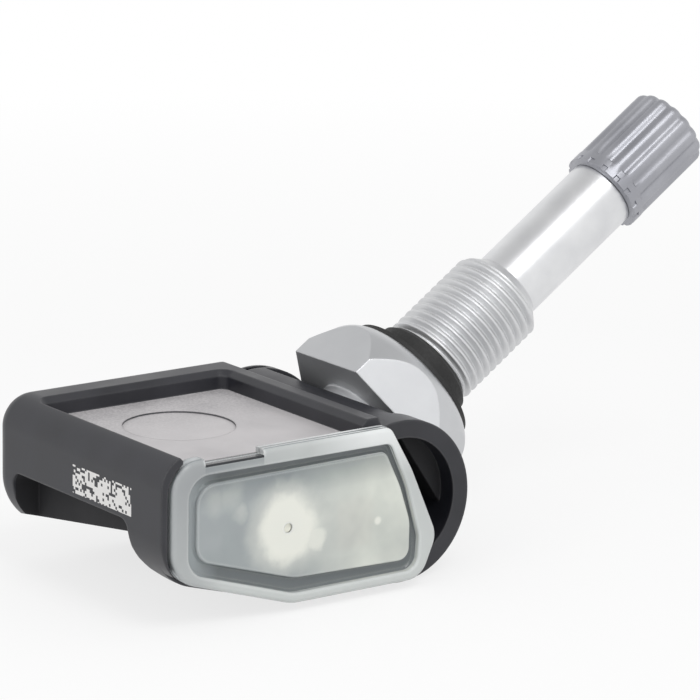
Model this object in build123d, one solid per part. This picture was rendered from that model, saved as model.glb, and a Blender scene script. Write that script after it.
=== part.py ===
from build123d import *

import math
import os

# Clamp-in tyre pressure sensor: a moulded housing with its electronics behind a milky end cover,
# on an aluminium tyre valve whose hex flange seats in the housing's round cradle.
# Millimetres and degrees. X points out of the end cover, Y from the housing to the valve, Z up.
# Each piece is drawn about the cradle's axis, which lies along X, in the plane of the valve stem.
# The export moves them all so that the middle of the stem's thread is the origin.

# Housing box, measured from the cradle's axis and the stem's plane
housing_left = -32.0
housing_back = -14.4
cover_front = 17.5
cover_top = 9.2
rim_top = 10.0
wall = 1.8
back_radius = 2.4

# End outline, seen along X: where its corners stand from the cradle's axis
slant_top_y = -3.7
corner_y = 2.8
corner_z = -3.1
foot_y = 0.9
keel_y = -15.7
keel_z = -7.85
left_foot_z = -3.1
shoulder_radius = 3.5
corner_radius = 2.6
foot_radius = 2.6
left_foot_radius = 6.0
keel_radius = 6.0

# Recess in the top, with the round ejector mark in its floor
recess_floor = 7.9
recess_ceiling = 1.6
back_rim = 5.2
left_rim = 2.6
right_rim = 2.0
recess_corner_radius = 1.0
recess_bevel = 0.6
bevel_angle = 45
mark_x = 0.9
mark_y = -18.8
mark_radius = 5.95
mark_depth = 0.25

# Undercut pocket in the left side and the belly that rises towards the front post
pocket_top = 2.2
pocket_depth = 3.3
pocket_corner_radius = 1.4
front_post = 6.2
back_post = 3.7
belly_back_rise = 0.3
belly_slope = 0.149
post_slope = 0.3
post_round_lengths = (0.9, 0.5, 0.3)
post_round_slopes = (0.9, 1.9, 4.0)

# Cradle: a round end along X with two cheeks, a flat seat for the flange and a hollow front
cradle_radius = 8.8
cradle_setback = 2.8
cradle_back_setback = 1.3
cradle_wall = 1.9
cheek_web = 1.0
hollow_depth = 8.2
slot_length = 3.4
slot_width = 0.8
slot_depth = 0.6

# End cover
cover_thickness = 1.6
cover_inset = 1.25
cover_gap = 0.5
cover_foot_radius = 4.2
frame_setback = 0.15
frame_right = -26.0
cover_edge_radius = 0.6
cover_rim_left = 2.05
cover_rim_top = 1.6
cover_rim_right = 2.2
cover_rim_bottom = 1.25
moat_left = 0.25
moat_top = 1.0
moat_right = 1.0
moat_bottom = 1.4
moat_depth = 1.0
pane_sink = 0.4
lip_wall = 0.7
lip_clearance = 0.12
gate_notch_y = -26.4
gate_notch_length = 6.6
gate_notch_depth = 0.6
vent_radius = 0.5

# Electronics
board_thickness = 1.0
board_clearance = 0.2
board_gap = 2.2
port_y = -16.2
port_z = 0.3
port_seal_radius = 4.5
port_seal_thickness = 1.0
port_tab_length = 1.8
sensor_width = 6.0
sensor_height = 5.0
sensor_port_radius = 0.4
sensor_port_depth = 0.6
coil_y = -6.7
coil_z = -1.0
coil_width = 6.2
coil_height = 7.2
coil_thickness = 1.6
coil_flange = 1.0
coil_core_width = 3.0
winding_wall = 0.8
controller_inset = 6.8
controller_z = 2.6
controller_size = 4.6
controller_thickness = 0.9
crystal_inset = 7.8
crystal_z = -0.8
crystal_length = 3.2
crystal_height = 1.6
crystal_thickness = 0.7
capacitor_gap = 0.3
capacitor_row_z = -3.5
capacitor_count = 6
capacitor_spacing = 1.35
capacitor_length = 1.0
capacitor_height = 0.6
cell_radius = 10.0
cell_thickness = 3.2
cell_step = 0.6
cell_clearance = 0.2
cell_rib_y = 5.0
cell_rib_width = 1.2
cell_rib_length = 12.0
tab_width = 4.0
tab_thickness = 0.3
tab_overlap = 8.0
tab_foot = 1.0
tab_spread = 1.0
antenna_width = 1.2
antenna_thickness = 0.4
antenna_half_span = 8.6
antenna_reach = 20.0
antenna_headroom = 0.2

# Valve stem: heights along the stem from the cradle's axis
stem_angle = 34.5
shank_radius = 4.2
shank_end = 0.9
seat_height = 5.7
collar_radius = 5.9
flange_base = 7.3
hex_across_flats = 19.0
hex_turn = 0.0
hex_corner_height = 2.1
dome_height = 12.4
dome_radius = 9.75
flange_top = 14.1
flange_top_radius = 8.15
neck_radius = 4.9
thread_start = 17.2
thread_end = 28.7
thread_radius = 5.55
tube_radius = 4.05
tube_end = 46.3
cap_thread_radius = 3.8
stem_end = 56.4
stem_chamfer = 0.4
passage_radius = 1.3
passage_end = 10.5
outlet_radius = 1.0

# Rubber seal
seal_lip_radius = 8.0
seal_lip_thickness = 0.6
seal_neck_radius = 5.9
seal_taper = 0.5
seal_clearance = 0.02

# Cross screw and its insert
screw_height = 2.6
screw_radius = 1.0
screw_head_radius = 1.45
screw_head_height = 1.4
screw_socket_radius = 0.8
screw_socket_depth = 0.9
screw_length = 15.2
insert_radius = 1.6
insert_length = 4.0
insert_depth = 5.2

# Valve core
core_recess = 2.0
core_head_radius = 2.55
core_head_length = 3.5
core_body_radius = 1.75
core_body_length = 5.0
core_bore_radius = 1.4
core_ledge = 0.8
core_seal_height = 1.2
core_seal_radius = 2.5
core_room = 0.05
core_flat_width = 3.2
core_flat_depth = 1.2
pin_radius = 0.7
pin_clearance = 0.06
pin_tip = 0.5
pin_collar_radius = 1.2
pin_collar_height = 0.5
pin_head_radius = 1.3
pin_head_height = 0.6
pin_seal_radius = 1.55
pin_seal_height = 1.0
pin_travel = 1.5
spring_radius = 1.0
spring_wire_radius = 0.15
spring_length = 4.5
spring_turns = 6

# Valve cap
cap_radius = 4.9
cap_top = 1.0
cap_edge_radius = 1.0
cap_seal_radius = 3.6
cap_seal_thickness = 0.75
cap_clearance = 0.06
cap_gap = 0.05
rib_count = 16
flute_radius = 1.4
flute_depth = 0.38
flute_margin = 1.5
tooth_gap = 0.6
tooth_depth = 0.15
tooth_height = 0.7

# How far a cutting tool runs past the face that it cuts
overrun = 1.0

# Stations along X and heights that several pieces share
cover_back = cover_front - cover_thickness
board_front = cover_back - board_gap
shelf = board_front - board_thickness
cradle_front = cover_front - cradle_setback
post_back = cover_back - front_post + cover_thickness
controller_y = housing_left + controller_inset
crystal_y = housing_left + crystal_inset
ceiling = recess_floor - recess_ceiling
slant = (corner_y - slant_top_y) / (cover_top - corner_z)
keel_slope = (keel_z - left_foot_z) / (keel_y - housing_left)
belly_rise = belly_back_rise + belly_slope * (post_back - housing_back)
hex_radius = hex_across_flats / math.sqrt(3)
hex_room = hex_radius + overrun / 2
stem_direction = Vector(0, math.cos(math.radians(stem_angle)), math.sin(math.radians(stem_angle)))
mount_height = (thread_start + thread_end) / 2


def rounded_face(corners):
    """Flat face through (across, up, corner radius) points."""
    points = [(across, up) for across, up, radius in corners]
    radii = [radius for across, up, radius in corners]
    return make_face(FilletPolyline(*points, radius=radii, close=True))


def flat_box(across_from, across_to, up_from, up_to):
    """Flat rectangle between two corners."""
    width = across_to - across_from
    height = up_to - up_from
    return Pos((across_from + across_to) / 2, (up_from + up_to) / 2) * Rectangle(width, height)


def prism_x(face, start, end):
    """Solid of an outline across X between two stations along X."""
    return extrude(Plane.YZ.offset(start) * face, amount=end - start, dir=(1, 0, 0))


def prism_y(face, start, end):
    """Solid of an outline across Y between two stations along Y."""
    return extrude(Pos(0, start, 0) * (Plane.XZ * face), amount=end - start, dir=(0, 1, 0))


def prism_z(face, start, end):
    """Solid of an outline across Z between two heights."""
    return extrude(Pos(0, 0, start) * face, amount=end - start, dir=(0, 0, 1))


def block(x_from, x_to, y_from, y_to, z_from, z_to):
    """Box between two corners."""
    return prism_z(flat_box(x_from, x_to, y_from, y_to), z_from, z_to)


def rod_x(radius, start, end, y=0.0, z=0.0):
    """Round rod along X."""
    return prism_x(Pos(y, z) * Circle(radius), start, end)


def turned(points):
    """Solid of revolution about Z from (radius, height) points."""
    return revolve(Plane.XZ * make_face(Polyline(*points, close=True)), Axis.Z)


def ring(inner, outer, bottom, top):
    """Plain tube about Z."""
    return turned([(inner, bottom), (outer, bottom), (outer, top), (inner, top)])


def on_stem(piece):
    """Tip a piece drawn upright about Z onto the stem's axis."""
    return Rot(stem_angle - 90, 0, 0) * piece


def end_outline(left, top, left_radius):
    """The sensor's outline seen along X, with its slanted edge run up to the given top."""
    corners = [
        (left, top, shoulder_radius),
        (slant_top_y - (top - cover_top) * slant, top, 0),
        (corner_y, corner_z, corner_radius),
        (foot_y, keel_z, foot_radius),
        (keel_y, keel_z, keel_radius),
        (left, left_foot_z, left_radius),
    ]
    return rounded_face(corners)


def drawn_in(face, left, top, right, bottom):
    """The part of an outline that is further in than the given distances from its four sides."""
    face_left = Pos(left, 0) * face
    face_top = Pos(0, -top) * face
    face_right = Pos(-right, 0) * face
    face_bottom = Pos(0, bottom) * face
    return face_left & face_top & face_right & face_bottom


def cavity_floor(y):
    """Height of the cavity's floor over the slanted left half of the belly."""
    upright_wall = wall * math.hypot(1, keel_slope)
    return left_foot_z + keel_slope * (y - housing_left) + upright_wall + belly_rise


housing_face = end_outline(housing_left, rim_top, left_foot_radius)
cover_face = end_outline(housing_left + cover_inset, cover_top, cover_foot_radius)
inner_face = offset(housing_face, -wall)
under_ceiling = flat_box(2 * housing_left, cradle_radius, 3 * keel_z, ceiling)
mouth_face = inner_face & under_ceiling
cavity_left = housing_left + pocket_depth + wall
right_of_pocket = flat_box(cavity_left, cradle_radius, 3 * keel_z, ceiling)
cavity_face = inner_face & (Pos(0, belly_rise) * inner_face) & right_of_pocket

# Where the battery lies: flat on two ribs, clear of the cavity's left and back walls
cell_x = housing_back + wall + cell_clearance + cell_radius
cell_y = cavity_left + cell_clearance + cell_radius
cell_bottom = cavity_floor(cavity_left) + cell_clearance
cell_top = cell_bottom + cell_thickness

# Where the cross screw passes the shank, and its seat in the hollow
screw_y = screw_height * stem_direction.Y
screw_z = screw_height * stem_direction.Z
hollow_floor = cradle_front - hollow_depth


def make_housing():
    """Black moulded box with a recessed top, a side pocket, a belly and the stem's cradle."""
    box = prism_x(housing_face, housing_back, cover_back)
    box = fillet(box.faces().sort_by(Axis.X)[0].edges(), back_radius)
    frame_face = housing_face - offset(cover_face, cover_gap)
    frame_face &= flat_box(2 * housing_left, frame_right, 3 * keel_z, 2 * rim_top)
    box += prism_x(frame_face, cover_back, cover_front - frame_setback)

    right_of_recess = slant_top_y - (rim_top - cover_top) * slant - right_rim
    recess_face = rounded_face([
        (housing_back + back_rim, housing_left + left_rim, recess_corner_radius),
        (cover_front, housing_left + left_rim, 0),
        (cover_front, right_of_recess, 0),
        (housing_back + back_rim, right_of_recess, recess_corner_radius),
    ])
    box -= prism_z(recess_face, recess_floor, rim_top + overrun)
    bevel_start = Pos(0, 0, rim_top - recess_bevel) * recess_face
    box -= extrude(bevel_start, amount=recess_bevel + overrun, taper=-bevel_angle)
    mark = Pos(mark_x, mark_y) * Circle(mark_radius)
    box -= prism_z(mark, recess_floor - mark_depth, recess_floor + overrun)

    pocket_face = rounded_face([
        (housing_back + back_post, 3 * keel_z, 0),
        (housing_back + back_post, pocket_top, pocket_corner_radius),
        (post_back, pocket_top, pocket_corner_radius),
        (post_back, 3 * keel_z, 0),
    ])
    box -= prism_y(pocket_face, housing_left - overrun, housing_left + pocket_depth)

    under_belly = make_face(Polyline(
        (housing_left, left_foot_z + belly_back_rise),
        (keel_y, keel_z + belly_back_rise),
        (cradle_radius, keel_z + belly_back_rise),
        (cradle_radius, 3 * keel_z),
        (housing_left, 3 * keel_z),
        close=True,
    ))
    belly_length = post_back - housing_back
    belly_start = Plane.YZ.offset(housing_back) * under_belly
    box -= extrude(belly_start, amount=belly_length, dir=(1, 0, belly_slope))
    post_flat = cover_back - post_back - sum(post_round_lengths)
    foot_x = cover_back
    foot_rise = -belly_back_rise
    for length, slope in zip((post_flat, *post_round_lengths), (post_slope, *post_round_slopes)):
        under_post = Plane.YZ.offset(foot_x) * (Pos(0, foot_rise) * under_belly)
        box -= extrude(under_post, amount=length, dir=(-1, 0, slope))
        foot_x -= length
        foot_rise += length * slope

    cradle = rod_x(cradle_radius, housing_back + cradle_back_setback, cradle_front)
    body = box + cradle
    body -= prism_x(cavity_face, housing_back + wall, shelf)
    body -= prism_x(mouth_face, shelf, cover_back + overrun)

    for side in (-1, 1):
        rib_y = cell_y + side * cell_rib_y
        rib_start = cell_x - cell_rib_length / 2
        rib_floor = max(cavity_floor(rib_y), cavity_floor(keel_y)) - wall / 2
        body += block(
            rib_start, rib_start + cell_rib_length,
            rib_y - cell_rib_width / 2, rib_y + cell_rib_width / 2,
            rib_floor, cell_bottom,
        )

    seat_room = block(-hex_room, hex_room, -2 * hex_radius, 2 * hex_radius, seat_height, stem_end)
    body -= on_stem(seat_room)
    hollow_face = Circle(cradle_radius - cradle_wall) - housing_face
    cheek_inside = hex_room + cheek_web
    body -= prism_x(hollow_face, cheek_inside, cradle_front + overrun)
    under_seat = Rot(0, 0, stem_angle) * flat_box(
        -2 * cradle_radius, seat_height - cheek_web, -2 * cradle_radius, 2 * cradle_radius
    )
    body -= prism_x(hollow_face & under_seat, hollow_floor, cradle_front + overrun)

    shank_room = ring(0, shank_radius + seal_clearance, shank_end - core_room, seat_height + overrun)
    body -= on_stem(shank_room)
    body -= rod_x(screw_radius + seal_clearance, -insert_depth - insert_length, cradle_front, screw_y, screw_z)
    body -= rod_x(insert_radius, -insert_depth - insert_length, -insert_depth, screw_y, screw_z)

    cheek_slot = block(
        housing_back + cradle_back_setback + slot_width / 2, housing_back + cradle_back_setback + slot_width * 3 / 2,
        -slot_length / 2, slot_length / 2,
        cradle_radius - slot_depth, cradle_radius + overrun,
    )
    return body - cheek_slot


def make_end_cover():
    """Milky moulded cover: raised rim, sunk pane inside a moat, and a lip that holds the board."""
    cover = prism_x(cover_face, cover_back, cover_front)
    cover = fillet(cover.faces().sort_by(Axis.X)[-1].edges(), cover_edge_radius)
    within_rim = drawn_in(cover_face, cover_rim_left, cover_rim_top, cover_rim_right, cover_rim_bottom)
    pane_face = drawn_in(within_rim, moat_left, moat_top, moat_right, moat_bottom)
    cover -= prism_x(within_rim, cover_front - pane_sink, cover_front + overrun)
    cover -= prism_x(within_rim - pane_face, cover_front - moat_depth, cover_front)
    cover -= block(
        cover_front - moat_depth, cover_front + overrun,
        gate_notch_y, gate_notch_y + gate_notch_length,
        cover_top - gate_notch_depth, cover_top + overrun,
    )
    lip_outside = offset(mouth_face, -lip_clearance)
    lip_inside = offset(mouth_face, -lip_clearance - lip_wall)
    cover += prism_x(lip_outside - lip_inside, board_front, cover_back)
    return cover - rod_x(vent_radius, cover_back - overrun, cover_front + overrun, port_y, port_z)


def make_circuit_board():
    """Board that rests on the housing's shelf."""
    return prism_x(offset(mouth_face, -board_clearance), shelf, board_front)


def on_board(y, z, width, height, thickness):
    """Plain chip on the board's front."""
    return prism_x(Pos(y, z) * Rectangle(width, height), board_front, board_front + thickness)


def make_sensor_chip():
    """Pressure sensor with its port in the lid."""
    thickness = board_gap - port_seal_thickness
    lid = board_front + thickness
    chip = on_board(port_y, port_z, sensor_width, sensor_height, thickness)
    return chip - rod_x(sensor_port_radius, lid - sensor_port_depth, lid + overrun, port_y, port_z)


def make_port_seal():
    """Soft white disc between the sensor and the cover's vent, with a locating tab."""
    tab_reach = port_seal_radius + port_tab_length
    tab = Rot(0, 0, -stem_angle) * flat_box(0, tab_reach, -port_tab_length / 2, port_tab_length / 2)
    face = Pos(port_y, port_z) * (Circle(port_seal_radius) + tab - Circle(vent_radius))
    return prism_x(face, cover_back - port_seal_thickness, cover_back)


def make_lf_coil():
    """Pale coil former: a core between two flanges."""
    core = on_board(coil_y, coil_z, coil_core_width, coil_height, coil_thickness)
    for side in (-1, 1):
        flange_z = coil_z + side * (coil_height - coil_flange) / 2
        core += on_board(coil_y, flange_z, coil_width, coil_flange, coil_thickness)
    return core


def make_coil_winding():
    """Copper turns wound on the former's core."""
    length = coil_height - 2 * coil_flange
    left = on_board(coil_y - (coil_core_width + winding_wall) / 2, coil_z, winding_wall, length, coil_thickness)
    right = on_board(coil_y + (coil_core_width + winding_wall) / 2, coil_z, winding_wall, length, coil_thickness)
    front = prism_x(
        Pos(coil_y, coil_z) * Rectangle(coil_core_width + 2 * winding_wall, length),
        board_front + coil_thickness, board_front + coil_thickness + winding_wall / 2,
    )
    return left + right + front


def make_chip_capacitors():
    """Row of small chip parts along the board's lower edge."""
    pieces = []
    for index in range(capacitor_count):
        y = coil_y - coil_width / 2 - capacitor_gap - capacitor_length / 2 - index * capacitor_spacing
        pieces.append(on_board(y, capacitor_row_z, capacitor_length, capacitor_height, capacitor_height))
    return Compound(children=pieces)


def make_coin_cell():
    """Lithium coin cell lying flat: a can with a smaller cap on top."""
    rim = cell_top - cell_step
    can = ring(0, cell_radius, cell_bottom, rim)
    cap = ring(0, cell_radius - cell_step, rim, cell_top)
    return Pos(cell_x, cell_y, 0) * (can + cap)


def make_battery_tab(side):
    """Welded strip from one face of the cell to a foot on the board's back."""
    face = cell_top if side > 0 else cell_bottom
    outside = face + side * tab_thickness
    foot_end = face + side * tab_foot
    middle = cell_y + side * tab_spread
    start = cell_x + cell_radius - tab_overlap
    profile = make_face(Polyline(
        (start, face),
        (shelf - tab_thickness, face),
        (shelf, face),
        (shelf, foot_end),
        (shelf - tab_thickness, foot_end),
        (shelf - tab_thickness, outside),
        (start, outside),
        close=True,
    ))
    return prism_y(profile, middle - tab_width / 2, middle + tab_width / 2)


def make_rf_antenna():
    """Flat copper loop under the recess, with both ends on the board's back."""
    middle = cell_y
    outer = flat_box(shelf - antenna_reach, shelf, middle - antenna_half_span, middle + antenna_half_span)
    inner = flat_box(
        shelf - antenna_reach + antenna_width, shelf + overrun,
        middle - antenna_half_span + antenna_width, middle + antenna_half_span - antenna_width,
    )
    top = ceiling - antenna_headroom
    return prism_z(outer - inner, top - antenna_thickness, top)


def make_valve_stem():
    """One turned aluminium piece: shank, domed hex flange, seal neck, thread, tube and cap thread."""
    collar_end = thread_end + thread_radius - tube_radius
    body = turned([
        (0, shank_end),
        (shank_radius, shank_end),
        (shank_radius, seat_height),
        (collar_radius, seat_height),
        (collar_radius, flange_top),
        (neck_radius, flange_top),
        (neck_radius, thread_start),
        (thread_radius, thread_start),
        (thread_radius, thread_end),
        (tube_radius, collar_end),
        (tube_radius, tube_end),
        (cap_thread_radius, tube_end),
        (cap_thread_radius, stem_end - stem_chamfer),
        (cap_thread_radius - stem_chamfer, stem_end),
        (0, stem_end),
    ])
    hex_face = RegularPolygon(hex_radius, 6, rotation=hex_turn)
    hexagon = prism_z(hex_face, flange_base, flange_top)
    corner_top = flange_base + hex_corner_height
    dome_line = Polyline(
        (flange_top_radius, flange_top),
        (0, flange_top),
        (0, flange_base),
        (hex_radius, flange_base),
        (hex_radius, corner_top),
        (dome_radius, dome_height),
    )
    dome_slope = (dome_radius - hex_radius, dome_height - corner_top)
    dome_line += TangentArc((dome_radius, dome_height), (flange_top_radius, flange_top), tangent=dome_slope)
    dome = revolve(Plane.XZ * make_face(dome_line), Axis.Z)
    stem = body + (hexagon & dome)

    core_end = stem_end - core_recess - core_head_length - core_body_length
    seal_end = stem_end - core_recess - core_head_length - core_seal_height
    wide_bore = core_head_radius + core_room
    slim_bore = core_body_radius + 4 * core_room
    stem -= turned([
        (0, stem_end + overrun),
        (wide_bore, stem_end + overrun),
        (wide_bore, seal_end),
        (slim_bore, seal_end - wide_bore + slim_bore),
        (slim_bore, core_end - pin_seal_height - pin_head_height - pin_travel - pin_tip),
        (passage_radius, core_end - pin_seal_height - pin_head_height - pin_travel - 2 * pin_tip),
        (passage_radius, passage_end),
        (0, passage_end),
    ])
    outlet = extrude(Plane.XZ * Pos(0, passage_end) * Circle(outlet_radius), amount=2 * hex_radius, dir=(0, 1, 0))
    stem -= outlet
    cross_hole = rod_x(screw_radius + seal_clearance, -2 * shank_radius, 2 * shank_radius, 0, screw_height)
    return on_stem(stem - cross_hole)


def make_rubber_seal():
    """Stepped grommet on the stem's neck: a lip for the rim's face and a neck for its hole."""
    lip_top = flange_top + seal_lip_thickness
    inside = neck_radius + seal_clearance
    seal = turned([
        (inside, flange_top),
        (seal_lip_radius, flange_top),
        (seal_lip_radius, lip_top),
        (seal_neck_radius, lip_top + seal_taper),
        (seal_neck_radius, thread_start - seal_taper),
        (seal_neck_radius - seal_taper, thread_start),
        (inside, thread_start),
    ])
    return on_stem(seal)


def make_valve_screw():
    """Cross screw with a socket head, sunk in the cradle's hollow."""
    screw = rod_x(screw_radius, hollow_floor - screw_length, hollow_floor, screw_y, screw_z)
    screw += rod_x(screw_head_radius, hollow_floor, hollow_floor + screw_head_height, screw_y, screw_z)
    socket = Pos(screw_y, screw_z) * RegularPolygon(screw_socket_radius, 6)
    top = hollow_floor + screw_head_height
    return screw - prism_x(socket, top - screw_socket_depth, top + overrun)


def make_screw_insert():
    """Brass threaded insert moulded into the far side of the cradle."""
    insert = rod_x(insert_radius, -insert_depth - insert_length, -insert_depth, screw_y, screw_z)
    bore = rod_x(screw_radius + seal_clearance, -insert_depth - insert_length, -insert_depth, screw_y, screw_z)
    return insert - bore


def make_core_barrel():
    """Brass valve core body, with wrench flats at its top."""
    top = stem_end - core_recess
    step = top - core_head_length
    bottom = step - core_body_length
    barrel = turned([
        (pin_radius + pin_clearance, bottom),
        (core_body_radius, bottom),
        (core_body_radius, step),
        (core_head_radius, step),
        (core_head_radius, top),
        (core_bore_radius, top),
        (core_bore_radius, bottom + core_ledge),
        (pin_radius + pin_clearance, bottom + core_ledge),
    ])
    for side in (-1, 1):
        flat_from = side * core_flat_width / 2
        flat_to = side * 2 * core_head_radius
        barrel -= block(
            min(flat_from, flat_to), max(flat_from, flat_to),
            -core_head_radius, core_head_radius, top - core_flat_depth, top + overrun,
        )
    return on_stem(barrel)


core_bottom = stem_end - core_recess - core_head_length - core_body_length
spring_bottom = core_bottom + core_ledge
pin_collar_bottom = spring_bottom + spring_length


def make_core_pin():
    """Core pin: a tip to press, a collar for the spring and a head for the washer."""
    washer_bottom = core_bottom - core_room - pin_seal_height
    collar_top = pin_collar_bottom + pin_collar_height
    pin = turned([
        (0, washer_bottom - pin_head_height),
        (pin_head_radius, washer_bottom - pin_head_height),
        (pin_head_radius, washer_bottom),
        (pin_radius, washer_bottom),
        (pin_radius, pin_collar_bottom),
        (pin_collar_radius, pin_collar_bottom),
        (pin_collar_radius, collar_top),
        (pin_radius, collar_top),
        (pin_radius, stem_end - pin_tip),
        (0, stem_end - pin_tip),
    ])
    return on_stem(pin)


def make_pin_seal():
    """Soft washer that closes the barrel's lower end."""
    top = core_bottom - core_room
    return on_stem(ring(pin_radius, pin_seal_radius, top - pin_seal_height, top))


def make_core_spring():
    """Wire spring between the barrel's ledge and the pin's collar."""
    height = spring_length - 2 * spring_wire_radius - 2 * seal_clearance
    path = Helix(height / spring_turns, height, spring_radius)
    section = Plane(origin=path @ 0, z_dir=path % 0) * Circle(spring_wire_radius)
    spring = sweep(section, path=path, is_frenet=True)
    return on_stem(Pos(0, 0, spring_bottom + spring_wire_radius + seal_clearance) * spring)


def make_core_seal():
    """Soft ring under the barrel's threaded head."""
    top = stem_end - core_recess - core_head_length
    return on_stem(ring(core_body_radius, core_seal_radius, top - core_seal_height, top))


cap_inside_top = stem_end + cap_gap + cap_seal_thickness
cap_end = cap_inside_top + cap_top
cap_skirt = tube_end + cap_gap


def make_valve_cap():
    """Grey plastic cap with flutes down its side and a toothed skirt."""
    bore = cap_thread_radius + cap_clearance
    cap = turned([
        (bore, cap_skirt),
        (cap_radius, cap_skirt),
        (cap_radius, cap_end),
        (0, cap_end),
        (0, cap_inside_top),
        (bore, cap_inside_top),
    ])
    cap = fillet(cap.faces().sort_by(Axis.Z)[-1].edges(), cap_edge_radius)
    flute = Pos(cap_radius + flute_radius - flute_depth, 0) * Circle(flute_radius)
    flute = prism_z(flute, cap_skirt + flute_margin, cap_end + overrun)
    tooth = block(
        cap_radius - tooth_depth, cap_radius + overrun, -tooth_gap / 2, tooth_gap / 2,
        cap_skirt - overrun, cap_skirt + tooth_height,
    )
    for index in range(rib_count):
        cap -= Rot(0, 0, index * 360 / rib_count) * (flute + tooth)
    return on_stem(cap)


def make_cap_seal():
    """Soft disc in the cap's top."""
    return on_stem(ring(0, cap_seal_radius, stem_end + cap_gap, cap_inside_top))


pieces = {
    "housing": make_housing(),
    "end_cover": make_end_cover(),
    "circuit_board": make_circuit_board(),
    "sensor_chip": make_sensor_chip(),
    "port_seal": make_port_seal(),
    "lf_coil": make_lf_coil(),
    "coil_winding": make_coil_winding(),
    "microcontroller": on_board(
        controller_y, controller_z, controller_size, controller_size, controller_thickness
    ),
    "crystal": on_board(crystal_y, crystal_z, crystal_length, crystal_height, crystal_thickness),
    "chip_capacitors": make_chip_capacitors(),
    "rf_antenna": make_rf_antenna(),
    "coin_cell": make_coin_cell(),
    "battery_tab_plus": make_battery_tab(1),
    "battery_tab_minus": make_battery_tab(-1),
    "valve_stem": make_valve_stem(),
    "rubber_seal": make_rubber_seal(),
    "valve_screw": make_valve_screw(),
    "screw_insert": make_screw_insert(),
    "core_barrel": make_core_barrel(),
    "core_pin": make_core_pin(),
    "pin_seal": make_pin_seal(),
    "core_spring": make_core_spring(),
    "core_seal": make_core_seal(),
    "valve_cap": make_valve_cap(),
    "cap_seal": make_cap_seal(),
}

to_mount = Pos(*(stem_direction * -mount_height))
for name, piece in pieces.items():
    export_step(to_mount * piece, f"parts/{name}.step")
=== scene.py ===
import math

import bpy
from mathutils import Matrix, Vector


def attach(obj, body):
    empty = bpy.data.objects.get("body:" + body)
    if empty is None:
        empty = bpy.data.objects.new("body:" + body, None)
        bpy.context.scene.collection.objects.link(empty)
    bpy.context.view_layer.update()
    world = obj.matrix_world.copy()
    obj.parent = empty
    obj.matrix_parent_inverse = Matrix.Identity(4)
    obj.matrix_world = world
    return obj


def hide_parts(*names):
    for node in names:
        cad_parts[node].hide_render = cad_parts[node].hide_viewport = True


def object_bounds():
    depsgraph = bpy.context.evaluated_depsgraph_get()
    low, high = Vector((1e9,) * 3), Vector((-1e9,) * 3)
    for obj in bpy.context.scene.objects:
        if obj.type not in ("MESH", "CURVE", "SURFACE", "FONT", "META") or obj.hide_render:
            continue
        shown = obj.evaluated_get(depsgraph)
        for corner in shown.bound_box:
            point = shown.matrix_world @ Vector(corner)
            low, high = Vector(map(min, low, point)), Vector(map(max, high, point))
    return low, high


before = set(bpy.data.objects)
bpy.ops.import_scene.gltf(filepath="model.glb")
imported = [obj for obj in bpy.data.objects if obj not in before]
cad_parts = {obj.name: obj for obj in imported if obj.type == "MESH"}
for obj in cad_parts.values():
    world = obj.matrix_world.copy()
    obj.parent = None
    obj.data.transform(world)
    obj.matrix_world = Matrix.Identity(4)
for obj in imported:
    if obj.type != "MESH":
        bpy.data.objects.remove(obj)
cad_low, cad_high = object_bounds()

# Moulded housing
# One black injection moulding in filled nylon, satin from the fine eroded finish of its tool.
# The recessed top is laser marked to a pale grey, and a small square field is marked on the left side.
# The foot of its front post is trimmed clean where it rounds up into the belly.
cradle_axis = Vector((0.0, -0.018914, -0.012999))
recess_floor = cradle_axis.z + 0.0079
recess_back = -0.0093
recess_front = 0.0160
recess_left = cradle_axis.y - 0.0296
recess_right = cradle_axis.y - 0.0042
ejector_mark_depth = 0.00025
laser_fade_x = (-0.009, 0.006)
floor_slack = 0.00004
mark_field_x = (0.0010, 0.0119)
mark_field_z = (cradle_axis.z + 0.0027, cradle_axis.z + 0.0057)
mark_cell = 0.00030
mark_gaps = 0.36
left_side = cradle_axis.y - 0.0320
skin = 0.0001
pocket_x = (-0.0108, 0.0114)
pocket_y = (left_side + 0.0004, left_side + 0.0040)
pocket_top = cradle_axis.z + 0.0023
hollow_radius = 0.00689
hollow_x = (0.0020, 0.0144)
housing_black = (0.012, 0.0125, 0.017, 1)
housing_grey = (0.024, 0.0245, 0.031, 1)
pocket_painted_shade = (0.008, 0.008, 0.010, 1)
laser_grey = (0.53, 0.512, 0.52, 1)
laser_shade = (0.33, 0.32, 0.33, 1)
laser_disc = (0.62, 0.60, 0.605, 1)
mark_white = (0.72, 0.71, 0.70, 1)
edge_wear_and_highlight = (0.085, 0.085, 0.09, 1)
edge_softness = 0.00035
edge_highlight_radius = 0.0004
edge_samples = 6
flat_cosine = 0.995
edge_cosine = 0.80


def start_finish(name):
    """New material, its tree and its shader."""
    finish = bpy.data.materials.new(name)
    finish.use_nodes = True
    tree = finish.node_tree
    return finish, tree, tree.nodes["Principled BSDF"]


def feed(tree, value, socket):
    """Links an output to a socket, or sets the socket's own value."""
    if isinstance(value, bpy.types.NodeSocket):
        tree.links.new(value, socket)
    else:
        socket.default_value = value


def own_place(tree):
    """The piece's own coordinates."""
    return tree.nodes.new("ShaderNodeTexCoord").outputs["Object"]


def split(tree, place):
    """The three parts of a coordinate."""
    parts = tree.nodes.new("ShaderNodeSeparateXYZ")
    feed(tree, place, parts.inputs[0])
    return parts.outputs["X"], parts.outputs["Y"], parts.outputs["Z"]


def calc(tree, operation, *values):
    """One step of arithmetic."""
    step = tree.nodes.new("ShaderNodeMath")
    step.operation = operation
    for value, socket in zip(values, step.inputs):
        feed(tree, value, socket)
    return step.outputs["Value"]


def within(tree, value, low, high):
    """1 where the value lies between two limits, and 0 elsewhere."""
    return calc(tree, "COMPARE", value, (low + high) / 2, (high - low) / 2)


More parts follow.
